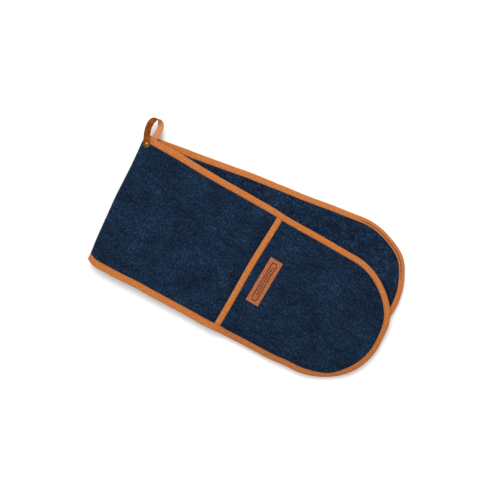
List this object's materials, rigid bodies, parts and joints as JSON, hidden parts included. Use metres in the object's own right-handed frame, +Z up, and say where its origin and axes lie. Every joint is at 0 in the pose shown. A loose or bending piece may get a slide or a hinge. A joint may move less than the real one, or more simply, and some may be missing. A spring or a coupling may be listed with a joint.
{
  "type": "double oven glove",
  "caption": "Double oven glove folded in half: padded denim strip with a hand pocket at each end, tape-bound edges, a leather hanging loop and a leather patch.",
  "frame": {"origin": "centre of the folded glove's footprint, on the surface it lies on", "axes": "+Z up; X square to the fold, with the fold at -X and the two round tips at +X; Y along the fold, with the hanging loop at +Y"},
  "size_m": [0.4369, 0.2498, 0.0229],
  "materials": {
    "denim": "slubby dark denim",
    "wadding": "white cotton wadding",
    "lining": "plain natural cotton",
    "tape": "tan twill tape",
    "thread": "tan sewing thread",
    "label_leather": "tan smooth leather",
    "strap_leather": "saddle leather",
    "brass": "aged brass"
  },
  "bodies": {
    "back_half": {"back_inner_cover": "denim", "back_wadding": "wadding", "back_outer_cover": "denim", "back_pocket_lining": "lining", "back_pocket_wadding": "wadding", "back_pocket_cover": "denim", "back_mouth_binding": "tape", "back_mouth_stitching": "thread", "back_edge_binding": "tape", "back_edge_stitching": "thread"},
    "front_half": {"front_inner_cover": "denim", "front_wadding": "wadding", "front_outer_cover": "denim", "front_pocket_lining": "lining", "front_pocket_wadding": "wadding", "front_pocket_cover": "denim", "front_mouth_binding": "tape", "front_mouth_stitching": "thread", "front_edge_binding": "tape", "front_edge_stitching": "thread", "label": "label_leather", "label_stitching": "thread", "rivet_cap": "brass", "rivet_base": "brass"},
    "hang_loop": {"hang_strap": "strap_leather"}
  },
  "joints": [
    {"name": "fold", "type": "hinge", "parent": "back_half", "child": "front_half", "pos_m": [-0.21774, -0.00364, 0.01075], "axis": [0, -1, 0], "range_deg": [0, 180]},
    {"name": "loop_swing", "type": "hinge", "parent": "front_half", "child": "hang_loop", "pos_m": [-0.20593, 0.08346, 0.01558], "axis": [0, 0, 1], "range_deg": [-20, 10]}
  ]
}
